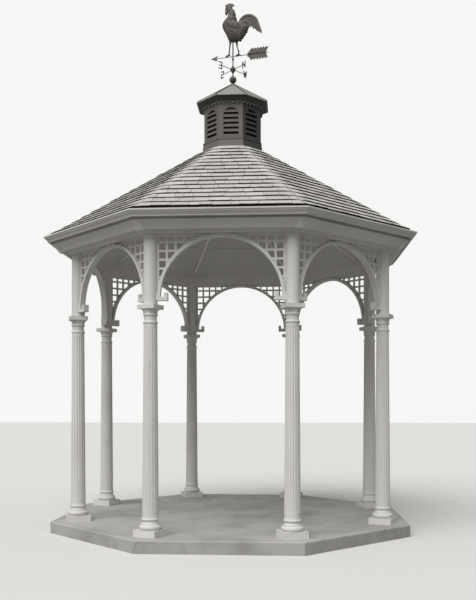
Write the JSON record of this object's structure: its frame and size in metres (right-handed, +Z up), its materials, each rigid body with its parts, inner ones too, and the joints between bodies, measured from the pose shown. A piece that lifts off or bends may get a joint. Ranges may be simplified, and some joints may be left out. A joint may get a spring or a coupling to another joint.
{
  "type": "gazebo",
  "caption": "Octagonal garden gazebo with fluted columns, lattice arches, shingled roof, louvred cupola and a turning rooster weathervane.",
  "frame": {"origin": "centre of the floor slab's underside", "axes": "+Z up; the front bay, between columns 1 and 2, faces -Y"},
  "size_m": [4.766, 4.766, 7.2669],
  "materials": {
    "slab": "trowelled concrete",
    "trim_paint": "painted, slightly worn gloss",
    "shingles": "weathered split shingles",
    "ceiling_paint": "matt paint on boards",
    "cupola_paint": "dark paint",
    "roof_metal": "weathered sheet metal",
    "hip_metal": "dark painted rolls",
    "vane_metal": "dark patinated copper"
  },
  "bodies": {
    "gazebo": {"floor_slab": "slab", "column_1": "trim_paint", "column_2": "trim_paint", "column_3": "trim_paint", "column_4": "trim_paint", "column_5": "trim_paint", "column_6": "trim_paint", "column_7": "trim_paint", "column_8": "trim_paint", "arch_1": "trim_paint", "arch_2": "trim_paint", "arch_3": "trim_paint", "arch_4": "trim_paint", "arch_5": "trim_paint", "arch_6": "trim_paint", "arch_7": "trim_paint", "arch_8": "trim_paint", "lattice_1": "trim_paint", "lattice_2": "trim_paint", "lattice_3": "trim_paint", "lattice_4": "trim_paint", "lattice_5": "trim_paint", "lattice_6": "trim_paint", "lattice_7": "trim_paint", "lattice_8": "trim_paint", "beam": "trim_paint", "roof_plate": "trim_paint", "cornice": "trim_paint", "roof": "shingles", "ceiling": "ceiling_paint", "ceiling_ribs": "ceiling_paint", "ceiling_band": "ceiling_paint", "cupola_drum": "cupola_paint", "cupola_louvres": "cupola_paint", "cupola_skirt": "cupola_paint", "cupola_cornice": "cupola_paint", "cupola_frieze": "cupola_paint", "cupola_roof": "roof_metal", "cupola_hips": "hip_metal", "finial": "vane_metal", "compass_points": "vane_metal"},
    "vane": {"vane_tube": "vane_metal", "vane_arrow": "vane_metal", "rooster": "vane_metal"}
  },
  "joints": [
    {"name": "vane_turn", "type": "hinge", "parent": "gazebo", "child": "vane", "pos_m": [0, 0, 6.47], "axis": [0, 0, 1], "continuous": true}
  ]
}
